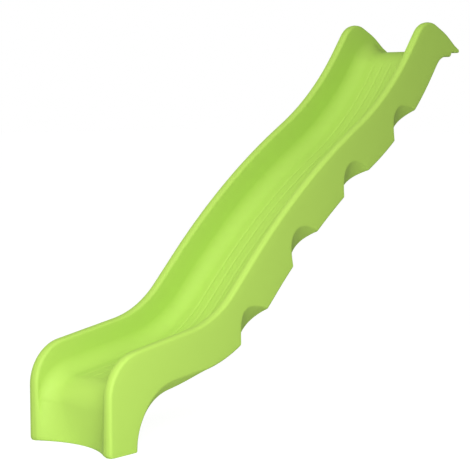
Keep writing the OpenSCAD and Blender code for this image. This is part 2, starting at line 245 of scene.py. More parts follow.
class SlideStageSettings(bpy.types.PropertyGroup):
    """Camera, lights and floor."""

    eye: bpy.props.FloatVectorProperty(
        name="Eye", description="Place of the camera", default=(3.8048, -5.5111, -0.2239),
        size=3, unit="LENGTH", subtype="TRANSLATION")
    heading: turn("Heading", "Turn of the camera from straight along +Y, to the left", 41.97)
    tilt: turn("Tilt", "How far the camera looks down", 5.51)
    lens: bpy.props.FloatProperty(
        name="Lens", description="Focal length on a 36 mm sensor", default=106.2, min=10.0, unit="CAMERA")
    floor: colour("Floor", "Colour of the floor", (0.62, 0.62, 0.62))
    key_power: bpy.props.FloatProperty(
        name="Key light", description="Power of the main light", default=134.0, min=0.0, unit="POWER")
    fill_power: bpy.props.FloatProperty(
        name="Fill light", description="Power of the overhead light", default=14.0, min=0.0, unit="POWER")
    sky: share("Sky", "Strength of the soft light from all round", 0.64)
    back_light: share("Back light", "Share of that light that comes from behind the slide", 0.34)


SETTINGS = {
    "slide_body": SlideBodySettings, "slide_scoops": SlideScoopSettings,
    "slide_hardware": SlideHardwareSettings, "slide_finish": SlideFinishSettings,
    "slide_stage": SlideStageSettings}


# ---- side-view lines ----

def heading(angle):
    """Side-view direction at an angle."""
    return np.array([math.cos(angle), math.sin(angle)])


def upward(vector):
    """A side-view direction turned a quarter turn, from forward to up."""
    return np.array([-vector[1], vector[0]])


def meet(p, a, q, b):
    """Corner where the line through p at angle a crosses the line through q at angle b."""
    d, e, w = heading(a), heading(b), q - p
    return p + d * ((w[0] * e[1] - w[1] * e[0]) / (d[0] * e[1] - d[1] * e[0]))


class Rail:
    """A side-view line from the ground to the back edge: straight spans with round corners between."""

    FLAT = math.radians(0.5)

    def __init__(self, corners):
        points = [np.array(corner[:2], float) for corner in corners]
        spans = [after - before for before, after in zip(points, points[1:])]
        angles = [math.atan2(span[1], span[0]) for span in spans]
        bends = [0.0] + [b - a for a, b in zip(angles, angles[1:])] + [0.0]
        radii = [corner[2] for corner in corners]
        cuts = [r / 2 if abs(b) < self.FLAT else r * math.tan(abs(b) / 2) for r, b in zip(radii, bends)]
        cuts[0] = cuts[-1] = 0.0
        self.pieces = []
        for i, (point, span, angle) in enumerate(zip(points, spans, angles)):
            start = point + heading(angle) * cuts[i]
            size = float(np.linalg.norm(span)) - cuts[i] - cuts[i + 1]
            self.pieces.append((start, angle, size, 0.0))
            if i + 1 < len(spans):
                bend = bends[i + 1]
                flat = abs(bend) < self.FLAT
                corner_len = radii[i + 1] if flat else radii[i + 1] * abs(bend)
                self.pieces.append((start + heading(angle) * size, angle, corner_len, 0.0 if flat else bend))
        self.starts = np.concatenate([[0.0], np.cumsum([piece[2] for piece in self.pieces])])
        self.first_bend_end = float(self.starts[FIRST_BEND_END])
        self.top_bend_start = float(self.starts[TOP_BEND_START])

    def at(self, distance):
        """Point and upward normal at a distance along the line."""
        k = int(np.clip(np.searchsorted(self.starts, distance, side="right") - 1, 0, len(self.pieces) - 1))
        start, angle, size, bend = self.pieces[k]
        run = distance - self.starts[k]
        if bend == 0.0:
            return start + heading(angle) * run, upward(heading(angle))
        radius = size / bend
        normal = upward(heading(angle + run / radius))
        return start + (upward(heading(angle)) - normal) * radius, normal


class Outline:
    """The three lines that shape the body, seen from the side: rim, running surface and underside."""

    def __init__(self, s):
        self.deck_h = s.deck_h
        climb = s.deck_h + s.hump_h - s.front_h - s.runout_len * math.sin(s.runout_angle)
        parts = (
            (s.lower_part, s.lower_angle), (s.middle_part, s.middle_angle), (s.upper_part, s.upper_angle))
        stretch = climb / sum(part * math.sin(angle) for part, angle in parts)
        rim = [np.array([0.0, s.front_h])]
        for part, angle in ((s.runout_len / stretch, s.runout_angle), *parts):
            rim.append(rim[-1] + heading(angle) * part * stretch)
        fall = rim[4] + s.fall_len * np.array([1.0, -math.tan(s.fall_angle)])
        self.back = rim[4][0] + s.tail_len
        self.flange_top = s.deck_h + 2 * s.wall + s.seam
        tip = np.array([self.back, self.flange_top + s.tip_h])
        settle = (fall + 2 * tip) / 3
        radii = (s.front_r, s.valley_r, s.crest_r * stretch, s.upper_valley_r * stretch, s.hump_r)
        self.rim = Rail(
            [(0.0, 0.0, 0.0)] + [(*p, r) for p, r in zip(rim, radii)]
            + [(*fall, s.fall_r), (*settle, SETTLE_R), (*tip, 0.0)])

        def below(front, shallow, deep, first_r, top_z, top_r):
            angles = (s.runout_angle, s.lower_angle, s.middle_angle, s.upper_angle)
            depths = (shallow, deep, deep, deep)
            set_down = [p - upward(heading(a)) * d for p, a, d in zip(rim, angles, depths)]
            upright = (np.array([front, 0.0]), math.pi / 2)
            lines = [upright, *zip(set_down, angles), (np.array([0.0, top_z]), 0.0)]
            corners = [meet(p, a, q, b) for (p, a), (q, b) in zip(lines, lines[1:])]
            turns = (first_r, s.valley_r + deep, s.crest_r * stretch - deep,
                     s.upper_valley_r * stretch + deep, top_r)
            return [(front, 0.0, 0.0)] + [(*c, r) for c, r in zip(corners, turns)]

        pan = below(s.front_setback, s.exit_depth, s.chute_depth, s.lip_r, self.flange_top, s.brow_r)
        level = self.back - pan[-1][0]
        self.pan = Rail(
            pan + [(pan[-1][0] + level * mark, self.flange_top, r) for mark, r in LEVEL_MARKS]
            + [(self.back, self.flange_top, 0.0)])
        ledge_end, ledge_z = self.back - s.flange_len, s.deck_h - s.ledge_drop
        under = below(s.foot_len, s.runout_body_depth, s.body_depth, s.arch_r, ledge_z, s.ledge_r)
        self.under = Rail(under + [
            (ledge_end, ledge_z, s.wall + STEP_TOP_R), (ledge_end, s.deck_h, STEP_TOP_R),
            (self.back, s.deck_h, 0.0)])

    def stations(self, coarse, fine, foot, ribs):
        """Places from the ground to the back edge, as a distance along each of the three lines.

        They are closer in tight corners and at the ribs between scoops."""
        marks = []
        for rail in (self.rim, self.pan, self.under):
            end = rail.starts[-1]
            marks.append(np.concatenate([[0.0, foot], rail.starts[1:-1], [end - LAST_ROW, end]]))
        rows = [[foot * (i / FOOT_ROWS) ** 2] * 3 for i in range(FOOT_ROWS)]
        for k in range(1, len(marks[0]) - 1):
            longest = max(mark[k + 1] - mark[k] for mark in marks)
            low, high = marks[2][k], marks[2][k + 1]
            tight = k <= FIRST_BEND_END or k >= TOP_BEND_START
            steps = max(4, math.ceil(longest / (fine if tight else coarse)))
            shares = set(np.linspace(0.0, 1.0, steps + 1)[:-1])
            for rib in ribs:
                near = rib + np.arange(-RIB_STEPS, RIB_STEPS + 1) * RIB_STEP
                shares |= {(d - low) / (high - low) for d in near if low < d < high}
            chosen = [0.0]
            for share_now in sorted(shares):
                step, rest = (share_now - chosen[-1]) * longest, (1.0 - share_now) * longest
                if step > LEAST_STEP and rest > LEAST_LAST_STEP:
                    chosen.append(share_now)
            rows += [[mark[k] + (mark[k + 1] - mark[k]) * f for mark in marks] for f in chosen]
        rows.append([mark[-1] for mark in marks])
        return np.array(rows)

    def place(self, x, point):
        """Model position of a side-view point at x."""
        return (x, point[0] - self.back + BACK_Y, point[1] - self.deck_h)

    def ring(self, points):
        """Model positions of half a slice and of its mirror image, from the right seam to the left one."""
        right = [self.place(x, point) for x, point in points]
        return right + [(-x, y, z) for x, y, z in reversed(right)]


# ---- cross-sections of the body ----

def tuck(height, radius):
    """How far a rounded bottom edge stands back at a height above the ground."""
    low = max(radius - height, 0.0)
    return radius - math.sqrt(radius * radius - low * low)


def soft_bump(u, soft):
    """1 at u = 0, falling to 0 past u = 1, with a soft foot."""
    rise = 1.0 - abs(u) ** 2.2
    return (rise + math.sqrt(rise * rise + soft * soft)) / 2


class Section:
    """One slice across the body, as a path of (x, side-view point) from the seam to the middle of the pan."""

    def __init__(self, outline, body, scoops, row):
        self.s = body
        self.half_w = body.width / 2
        self.inner_x = self.half_w - body.rim_w
        self.run = row
        self.rim, self.pan, self.under = (
            rail.at(d) for rail, d in zip((outline.rim, outline.pan, outline.under), row))
        tall = np.linalg.norm(self.rim[0] - self.under[0])
        self.deep = float(np.linalg.norm(self.rim[0] - self.pan[0]))
        self.high = max(float((self.rim[0] - self.pan[0]) @ self.pan[1]), 2 * body.wall)
        self.at_deck = row[2] >= outline.under.top_bend_start
        self.up = (self.rim[0] - self.under[0]) / tall if self.at_deck else self.under[1]
        pitch = scoop_row(outline, scoops)[0]
        self.scoop = max(
            soft_bump((row[2] - scoops.scoop_start - pitch * k) / scoops.scoop_len * 2 - 1, scoops.scoop_soft)
            for k in range(scoops.scoop_count))
        arch_len = outline.under.first_bend_end + body.belly_tail - body.belly_start
        across_arch = (row[2] - body.belly_start) / arch_len * 2 - 1
        self.arch = max(1.0 - across_arch ** 2, 0.0) ** 1.5
        self.under = (self.under[0] - self.under[1] * body.belly * self.arch, self.under[1])
        self.rise = (min(body.bevel, tall / 5) + (scoops.scoop_h - body.bevel) * self.scoop
                     + (body.belly + body.arch_lift) * self.arch)
        self.reach = body.bevel + (scoops.scoop_reach - body.bevel) * self.scoop + body.arch_reach * self.arch
        self.front = (1.0 - min(row[1] / outline.pan.first_bend_end, 1.0)) ** 2
        self.hollow_w = body.hollow_r + (self.inner_x - FRONT_LAND - body.hollow_r) * self.front
        self.rim = (self.rim[0] + np.array([tuck(row[0], body.toe_r), 0.0]), self.rim[1])
        self.under = (self.under[0] - np.array([tuck(row[2], body.heel_r), 0.0]), self.under[1])
        self.side_tuck = tuck(row[0], body.sole_r)

    def lower_edge(self, set_in):
        """Seam, rounded inner edge of the slant and rounded foot of the wall, as (x, height) pairs."""
        land = self.s.bevel
        seam = np.array([self.half_w - self.reach - land, set_in])
        inner = np.array([self.half_w - self.reach, set_in])
        foot = np.array([self.half_w - set_in, self.rise])
        wall = np.array([self.half_w - set_in, self.rise + land])
        soft = min(np.linalg.norm(foot - inner) / 2, land)
        inside = rounded(seam, inner, foot, land * 0.9, soft, 5)
        return [seam, *inside, *rounded(inner, foot, wall, soft, soft, 5)]

    def path(self, inset=0.0, fine=True):
        """The slice's line, set in by an inset. A fine one has the points that the outside needs."""
        s, (rim, n), (pan, m) = self.s, self.rim, self.pan
        r = min(s.rim_r, self.high * SHOULDER_SHARE)
        room = self.high - max(r, s.wall + LEAST_R) - HOLLOW_LAND
        h = min(s.hollow_r, self.high * AT_DECK_SHARE if self.at_deck else room)
        w = self.hollow_w
        if fine:
            inset = self.side_tuck
            low = [(x, self.under[0] + self.up * z) for x, z in self.lower_edge(inset)]
            steps, wall_steps, bend, floor_steps, top_steps = 7, 5, 14, FLOOR_STEPS, 4
        else:
            slant = self.rise / self.reach
            lift = inset * math.sqrt(1 + slant * slant)
            foot = (self.reach - inset) * slant + lift
            low = [(self.half_w - self.reach - s.bevel, self.under[0] + self.up * lift),
                   (self.half_w - inset, self.under[0] + self.up * foot)]
            steps, wall_steps, bend, floor_steps, top_steps = 3, 1, 14, 2, 1
        ri = max(r - inset, LEAST_R)
        top = rim - n * (inset + ri)
        outer = curve(self.half_w - inset - ri, ri, ri, 0, 90, top, n, steps)
        inner = curve(self.inner_x + inset + ri, ri, ri, 90, 180, top, n, steps)
        flat_rim = [
            (outer[-1][0] + (inner[0][0] - outer[-1][0]) * i / top_steps,
             outer[-1][1] + n * s.crown * (1 - (2 * i / top_steps - 1) ** 2)) for i in range(1, top_steps)]
        hollow = curve(self.inner_x - w, w + inset, h + inset, 0, -90, pan + m * h, m, bend)
        wall = between(low[-1], outer[0], wall_steps)
        drop = between(inner[-1], hollow[0], 2)
        floor = between(hollow[-1], (0.0, hollow[-1][1]), floor_steps)
        return [*low, *wall, *outer, *flat_rim, *self.dished(inner, drop + hollow, floor, r, w, inset)]

    def dished(self, inner, hollow, floor, r, w, inset):
        """Turns shoulder, hollow and floor into the front wall's shallow dish, fully so at the ground."""
        if self.front == 0.0:
            return inner + hollow + floor
        edge, front, out = self.inner_x, self.front, []
        start = DISH_SHOULDER * r
        spread = np.linspace(0.0, 1.0, len(hollow)) ** DISH_SPREAD
        xs = [*np.linspace(edge + r, edge - r, len(inner)), *(edge - start - (w - start) * spread),
              *(x for x, _ in floor)]
        top = self.rim[0] - self.rim[1] * inset
        bottom = self.pan[0] - self.pan[1] * inset
        for (x, point), dish_x in zip(inner + hollow + floor, xs):
            sunk = self.deep * (1 - (dish_x / edge) ** 2)
            sunk = (sunk + math.sqrt(sunk * sunk + DISH_SOFT)) / 2 / self.deep
            dish = top * (1 - sunk) + bottom * sunk
            out.append((x * (1 - front) + dish_x * front, point * (1 - front) + dish * front))
        return out


def rounded(before, corner, after, reach_in, reach_out, steps):
    """Points of a soft corner between two straight lines."""
    a = corner + (before - corner) / max(np.linalg.norm(before - corner), 1e-9) * reach_in
    b = corner + (after - corner) / max(np.linalg.norm(after - corner), 1e-9) * reach_out
    return [a * (1 - t) ** 2 + corner * 2 * t * (1 - t) + b * t * t for t in np.linspace(0.0, 1.0, steps)]


def curve(x, rx, rz, first, last, centre, normal, steps):
    """Quarter turn across the body about x and a side-view centre."""
    angles = np.radians(np.linspace(first, last, steps + 1))
    return [(x + rx * math.cos(a), centre + normal * rz * math.sin(a)) for a in angles]


def between(a, b, steps):
    """Points strictly between two path points."""
    return [(a[0] + (b[0] - a[0]) * i / steps, a[1] + (b[1] - a[1]) * i / steps) for i in range(1, steps)]


# ---- meshes ----

def mesh_object(name, vertices, faces, crease=30.0):
    """A new object at the origin, smooth apart from edges sharper than crease degrees."""
    mesh = bpy.data.meshes.new(name)
    mesh.from_pydata([tuple(v) for v in vertices], [], [tuple(f) for f in faces])
    mesh.validate()
    mesh.shade_smooth()
    mesh.set_sharp_from_angle(angle=math.radians(crease))
    made = bpy.data.objects.new(name, mesh)
    bpy.context.scene.collection.objects.link(made)
    return made


def cap_faces(first, outer, inner, vertices):
    """Strip that closes the end of a shell between its outer and its inner line, across the shortest way."""
    faces = []
    i = j = 0
    far = first + outer + inner - 1
    while i < outer - 1 or j < inner - 1:
        a, c = first + i, far - j
        if i == outer - 1 or j == inner - 1:
            step_outer = i < outer - 1
        else:
            step_outer = math.dist(vertices[a + 1], vertices[c]) <= math.dist(vertices[a], vertices[c - 1])
        faces.append((a, a + 1, c) if step_outer else (a, c - 1, c))
        i, j = (i + 1, j) if step_outer else (i, j + 1)
    return faces


def closed_shell(name, vertices, outer, inner):
    """A closed shell of rows of outer and inner points, each row one after the other."""
    row = outer + inner
    last = len(vertices) - row
    faces = [(i + j, i + (j + 1) % row, i + row + (j + 1) % row, i + row + j)
             for i in range(0, last, row) for j in range(row)]
    for end in (0, last):
        faces += cap_faces(end, outer, inner, vertices)
    made = mesh_object(name, vertices, faces)
    finish_normals(made)
    return made


def point_attribute(piece, name, values):
    """Stores one number at each of a piece's points."""
    piece.data.attributes.new(name, "FLOAT", "POINT").data.foreach_set("value", np.asarray(values, "float32"))


def finish_normals(piece):
    """Turns every face of a closed piece outwards."""
    work = bmesh.new()
    work.from_mesh(piece.data)
    bmesh.ops.recalc_face_normals(work, faces=work.faces)
    work.to_mesh(piece.data)
    work.free()


# ---- node trees ----

class Wire:
    """A socket that sums, products and functions can be written with."""

    def __init__(self, net, socket):
        self.net = net
        self.socket = socket

    def maths(self, operation, *others):
        inputs = dict(enumerate((self, *others)))
        return self.net.node("ShaderNodeMath", {"operation": operation}, inputs)

    def swapped(self, operation, other):
        return self.net.node("ShaderNodeMath", {"operation": operation}, {0: other, 1: self})

    def __add__(self, other):
        return self.maths("ADD", other)

    def __sub__(self, other):
        return self.maths("SUBTRACT", other)

    def __rsub__(self, other):
        return self.swapped("SUBTRACT", other)

    def __mul__(self, other):
        return self.maths("MULTIPLY", other)

    def __truediv__(self, other):
        return self.maths("DIVIDE", other)

    def __abs__(self):
        return self.maths("ABSOLUTE")

    def __lt__(self, other):
        return self.maths("LESS_THAN", other)

    __radd__ = __add__
    __rmul__ = __mul__

    def part(self, low, high):
        """0 below low, 1 above high and smooth between."""
        return self.net.node(
            "ShaderNodeMapRange", {"interpolation_type": "SMOOTHSTEP"},
            {0: self, 1: low, 2: high, 3: 0.0, 4: 1.0})


class Net:
    """A node tree while it is made."""

    def __init__(self, tree):
        self.tree = tree

    def node(self, kind, settings=None, inputs=None, output=0):
        """Adds a node with its settings, then the values or links of its inputs, and returns one output."""
        made = self.tree.nodes.new(kind)
        for name, value in (settings or {}).items():
            setattr(made, name, value)
        for key, value in (inputs or {}).items():
            if isinstance(value, Wire):
                self.tree.links.new(value.socket, made.inputs[key])
            else:
                made.inputs[key].default_value = value
        return Wire(self, made.outputs[output]) if len(made.outputs) else made

    def noise(self, place, scale, detail, rough=0.5):
        return self.node(
            "ShaderNodeTexNoise", {},
            {"Vector": place, "Scale": scale, "Detail": detail, "Roughness": rough})

    def blend(self, amount, first, second):
        """A colour between two, each a wire or a linear colour."""
        ends = [end if isinstance(end, Wire) else (*np.clip(end, 0.0, 1.0), 1.0) for end in (first, second)]
        return self.node(
            "ShaderNodeMix", {"data_type": "RGBA"}, {0: amount, 6: ends[0], 7: ends[1]}, output=2)

    def skin(self, inputs):
        """Ends a material in one surface shader."""
        surface = self.node("ShaderNodeBsdfPrincipled", {}, inputs)
        self.node("ShaderNodeOutputMaterial", {}, {"Surface": surface})

    def stored(self, name):
        """A number that is stored at each point."""
        return self.node("GeometryNodeInputNamedAttribute", {"data_type": "FLOAT"}, {"Name": name})

    def put_out(self, geometry, material):
        """Ends a geometry tree with real copies in one material."""
        whole = self.node("GeometryNodeRealizeInstances", {}, {"Geometry": geometry})
        coated = self.node("GeometryNodeSetMaterial", {}, {"Geometry": whole, "Material": material})
        self.node("NodeGroupOutput", {}, {"Geometry": coated})


def new_material(name):
    """A material with an empty tree, and its output node."""
    material = bpy.data.materials.new(name)
    material.use_nodes = True
    material.node_tree.nodes.clear()
    return material, Net(material.node_tree)


def moulded_plastic(name, finish):
    """Satin moulded polyethylene: pigment that varies a little, fine grain and faint rubbing marks."""
    material, net = new_material(name)
    place = net.node("ShaderNodeTexCoord", output="Object")
    broad = net.noise(place, 3.2, 3.0, 0.55)
    cloud = net.noise(place, 38.0, 4.0, 0.6)
    grain = net.noise(place, 1.0 / finish.grain, 2.0)
    ripple = net.noise(place, 11.0, 1.0, 0.4)
    down_the_chute = net.node("ShaderNodeMapping", {}, {
        "Vector": place, "Rotation": (math.radians(-38.0), 0.0, 0.0), "Scale": (420.0, 9.0, 90.0)})
    rub = net.noise(down_the_chute, 1.0, 2.0)
    marks = rub.part(0.60, 0.78) * cloud.part(0.42, 0.62)
    base = np.array(finish.plastic)
    deep = base * (1.0 - finish.mottle * 2.2)
    pale = base * (1.0 + finish.mottle) + 0.004
    tint = net.blend((broad * 0.7 + cloud * 0.3).part(0.30, 0.68), deep, pale)
    rough = finish.plastic_rough - 0.05 + 0.10 * broad + 0.06 * marks + 0.05 * grain
    height = grain * 0.35 + ripple * 0.9 + marks * 0.12
    bump = net.node("ShaderNodeBump", {}, {"Strength": 0.10, "Distance": 0.0012, "Height": height})
    net.skin({
        "Base Color": net.blend(marks * 0.22, tint, base * 1.08 + 0.012), "Roughness": rough,
        "Normal": bump, "IOR": 1.50, "Specular IOR Level": 0.44})
    return material


def brushed_steel(name, finish):
    """Stainless steel with fine turning lines and dull spots."""
    material, net = new_material(name)
    place = net.node("ShaderNodeTexCoord", output="Object")
    lines = net.node(
        "ShaderNodeTexWave", {"wave_type": "RINGS", "rings_direction": "Z"},
        {"Vector": place, "Scale": 900.0, "Distortion": 0.6, "Detail": 2.0})
    spots = net.noise(place, 260.0, 3.0)
    base = np.array(finish.steel)
    bump = net.node("ShaderNodeBump", {}, {"Strength": 0.2, "Distance": 0.0002, "Height": lines})
    net.skin({
        "Base Color": net.blend(spots.part(0.35, 0.70), base * 0.82, base * 1.12),
        "Roughness": finish.steel_rough + 0.12 * spots - 0.05 * lines, "Normal": bump, "Metallic": 1.0})
    return material


def pale_floor(name, tint):
    """Plain matt floor with the faintest unevenness, which glows a little for the camera."""
    material, net = new_material(name)
    place = net.node("ShaderNodeTexCoord", output="Object")
    matt = net.node("ShaderNodeBsdfPrincipled", {}, {
        "Base Color": net.blend(net.noise(place, 0.8, 2.0), np.array(tint) * 0.985, tint),
        "Roughness": 0.9, "Specular IOR Level": 0.1})
    glow = net.node("ShaderNodeEmission", {}, {"Color": (1.0, 1.0, 1.0, 1.0), "Strength": 1.30})
    seen = net.node("ShaderNodeLightPath", output="Is Camera Ray")
    surface = net.node("ShaderNodeMixShader", {}, {0: seen * 0.72, 1: matt, 2: glow})
    net.node("ShaderNodeOutputMaterial", {}, {"Surface": surface})
    return material


def shared_material(key, make, *arguments):
    """The material of that name, made the first time that it is asked for."""
    return bpy.data.materials.get(key) or make(key, *arguments)


def green_plastic(scene):
    return shared_material("green_plastic", moulded_plastic, scene.slide_finish)


# ---- Geometry Nodes ----

def geometry_group(name, inputs):
    """An empty Geometry Nodes group with a geometry input and output and named inputs."""
    group = bpy.data.node_groups.new(name, "GeometryNodeTree")
    group.interface.new_socket("Geometry", in_out="INPUT", socket_type="NodeSocketGeometry")
    for label, (kind, default) in inputs.items():
        socket = group.interface.new_socket(label, in_out="INPUT", socket_type=kind)
        if default is not None:
            socket.default_value = default
    group.interface.new_socket("Geometry", in_out="OUTPUT", socket_type="NodeSocketGeometry")
    net = Net(group)
    source = group.nodes.new("NodeGroupInput")
    given = {socket.name: Wire(net, socket) for socket in source.outputs if socket.name}
    return group, net, given


def applied(piece, group, values):
    """Runs a Geometry Nodes group on a piece and keeps the result as its plain mesh."""
    modifier = piece.modifiers.new(group.name, "NODES")
    modifier.node_group = group
    for item in group.interface.items_tree:
        if item.item_type == "SOCKET" and item.in_out == "INPUT" and item.name in values:
            modifier[item.identifier] = values[item.name]
    return kept(piece, modifier)


def kept(piece, modifier):
    """Keeps what a modifier makes of a piece as its plain mesh."""
    bpy.context.view_layer.update()
    depsgraph = bpy.context.evaluated_depsgraph_get()
    mesh = bpy.data.meshes.new_from_object(piece.evaluated_get(depsgraph))
    piece.modifiers.remove(modifier)
    old = piece.data
    piece.data = mesh
    bpy.data.meshes.remove(old)
    return piece


def groove_group():
    """Presses evenly spaced grooves, with a fine line between each two, into the running surface."""
    group, net, given = geometry_group("Pressed grooves", {
        "Pitch": ("NodeSocketFloat", 0.046), "Count": ("NodeSocketInt", 5),
        "Width": ("NodeSocketFloat", 0.014), "Depth": ("NodeSocketFloat", 0.0015),
        "Line width": ("NodeSocketFloat", 0.006), "Line depth": ("NodeSocketFloat", 0.0005),
        "Start": ("NodeSocketFloat", 0.2), "End": ("NodeSocketFloat", 2.5),
        "Fade": ("NodeSocketFloat", 0.06), "Material": ("NodeSocketMaterial", None)})
    across, along, on_pan = (net.stored(name) for name in ("across", "along", "on_pan"))

    def dent(offset, width, depth):
        """Soft round-bottomed dents about every pitch, shifted by a share of the pitch."""
        cell = across / given["Pitch"] - offset
        off_centre = abs(cell - cell.maths("ROUND")) * given["Pitch"]
        return depth * (1.0 - off_centre.part(0.0, width / 2.0))

    within = abs(across) < given["Count"] * given["Pitch"] / 2.0
    between_outer = abs(across) < (given["Count"] - 1) * given["Pitch"] / 2.0
    ends = along.part(given["Start"], given["Start"] + given["Fade"]) * (
        1.0 - along.part(given["End"] - given["Fade"], given["End"]))
    depth = (dent(0.0, given["Width"], given["Depth"]) * within
             + dent(0.5, given["Line width"], given["Line depth"]) * between_outer) * ends * on_pan
    normal = net.node("GeometryNodeInputNormal")
    push = net.node("ShaderNodeVectorMath", {"operation": "SCALE"}, {0: normal, "Scale": 0.0 - depth})
    pressed = net.node("GeometryNodeSetPosition", {}, {"Geometry": given["Geometry"], "Offset": push})
    net.put_out(pressed, given["Material"])
    return group


def repeat_group():
    """Sets a copy of a part on every point, standing along the point's own direction."""
    group, net, given = geometry_group("Set in a row", {
        "Part": ("NodeSocketObject", None), "Material": ("NodeSocketMaterial", None)})
    part = net.node("GeometryNodeObjectInfo", {}, {"Object": given["Part"]}, output="Geometry")
    turned = net.node("ShaderNodeCombineXYZ", {}, {"X": net.stored("lean")})
    copies = net.node(
        "GeometryNodeInstanceOnPoints", {},
        {"Points": given["Geometry"], "Instance": part, "Rotation": turned})
    net.put_out(copies, given["Material"])
    return group


def turned_part(name, profile, steps=64):
    """A solid of revolution about Z from a closed or pole-to-pole profile of (radius, height)."""
    rings, vertices, faces = [], [], []
    turns = [2 * math.pi * k / steps for k in range(steps)]
    for radius, height in profile:
        if radius == 0.0:
            rings.append([len(vertices)] * steps)
            vertices.append((0.0, 0.0, height))
            continue
        rings.append(list(range(len(vertices), len(vertices) + steps)))
        vertices += [(radius * math.cos(a), radius * math.sin(a), height) for a in turns]
    closed = profile[0][0] > 0.0
    pairs = list(zip(rings, rings[1:])) + ([(rings[-1], rings[0])] if closed else [])
    for low, high in pairs:
        for k in range(steps):
            face = [low[k], low[(k + 1) % steps], high[(k + 1) % steps], high[k]]
            face = [v for i, v in enumerate(face) if v not in face[:i]]
            if len(face) > 2:
                faces.append(face)
    made = mesh_object(name, vertices, faces, 35.0)
    finish_normals(made)
    return made


def softened(profile, radius, steps=3):
    """A closed profile with each corner rounded."""
    points = [np.array(p) for p in profile]
    out = []
    for i, corner in enumerate(points):
        before, after = points[i - 1], points[(i + 1) % len(points)]
        reach = min(radius, np.linalg.norm(before - corner) / 2.5, np.linalg.norm(after - corner) / 2.5)
        out += [tuple(p) for p in rounded(before, corner, after, reach, reach, steps)]
    return out


def set_in_row(name, part, places, leans, material):
    """A piece of separate copies of a part, one at each place."""
    points = bpy.data.meshes.new(name)
    points.from_pydata(places, [], [])
    row = bpy.data.objects.new(name, points)
    bpy.context.scene.collection.objects.link(row)
    point_attribute(row, "lean", leans)
    applied(row, repeat_group(), {"Part": part, "Material": material})
    bpy.data.objects.remove(part)
    finish_normals(row)
    row.data.shade_smooth()
    row.data.set_sharp_from_angle(angle=math.radians(35.0))
    return row


def cut_out(piece, tool, crease):
    """Cuts a closed tool out of a piece, with sharp edges round the cut, and removes the tool."""
    modifier = piece.modifiers.new("cut", "BOOLEAN")
    modifier.operation = "DIFFERENCE"
    modifier.solver = "EXACT"
    modifier.object = tool
    kept(piece, modifier)
    bpy.data.objects.remove(tool)
    piece.data.set_sharp_from_angle(angle=math.radians(crease))
    return piece


def drills(radius, low, high, places, leans):
    """Round tools that reach from low to high through each place, along its own direction."""
    drill = turned_part("drill_pattern", [(0.0, low), (radius, low), (radius, high), (0.0, high)])
    return set_in_row("drills", drill, places, leans, None)


def block(name, low, high):
    """A plain cutting block between two corners."""
    corners = [(x, y, z) for x in (low[0], high[0]) for y in (low[1], high[1]) for z in (low[2], high[2])]
    made = mesh_object(name, corners, [
        (0, 1, 3, 2), (4, 6, 7, 5), (0, 4, 5, 1), (2, 3, 7, 6), (0, 2, 6, 4), (1, 5, 7, 3)])
    finish_normals(made)
    return made


def stand_for(piece, node):
    """Lets a piece ride on the one body in the place of a node, and hides the node's part."""
    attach(piece, "root")
    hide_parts(node)


def screw_places(s):
    """Where the deck screws stand, on the seat of the flange, and their leans."""
    places = [((i - (s.screw_count - 1) / 2) * s.screw_pitch, 0.0, 0.0) for i in range(s.screw_count)]
    return places, [0.0] * s.screw_count


def plug_places(outline, scoops):
    """Where the blow holes stand, each in the middle of a rib of the underside, and their leans."""
    pitch = scoop_row(outline, scoops)[0]
    rib = pitch - scoops.scoop_len
    places, leans = [], []
    for k in (1, scoops.scoop_count - 1):
        point, normal = outline.under.at(scoops.scoop_start + k * pitch - rib / 2)
        places.append(outline.place(0.0, point))
        leans.append(math.atan2(normal[1], normal[0]) - math.pi / 2)
    return places, leans


def bush_drills(s, body):
    """Tools for the holes that the deck bushes stand in."""
    return drills(s.bush_bore / 2 + s.bush_wall + s.fit, -0.004, 3 * body.wall, *screw_places(s))


# ---- operators ----

def scoop_row(outline, scoops):
    """Distance along the underside from scoop to scoop, and where every scoop starts and ends."""
    pitch = (outline.under.top_bend_start - scoops.top_land - scoops.scoop_start) / scoops.scoop_count
    firsts = [scoops.scoop_start + pitch * k for k in range(scoops.scoop_count)]
    return pitch, [end for first in firsts for end in (first, first + scoops.scoop_len)]


def slices(body, scoops):
    """The outline, and the slices across the body from the ground to the back edge."""
    outline = Outline(body)
    rows = outline.stations(COARSE_STEP, FINE_STEP, FOOT_EDGE, scoop_row(outline, scoops)[1])
    return outline, [Section(outline, body, scoops, row) for row in rows]


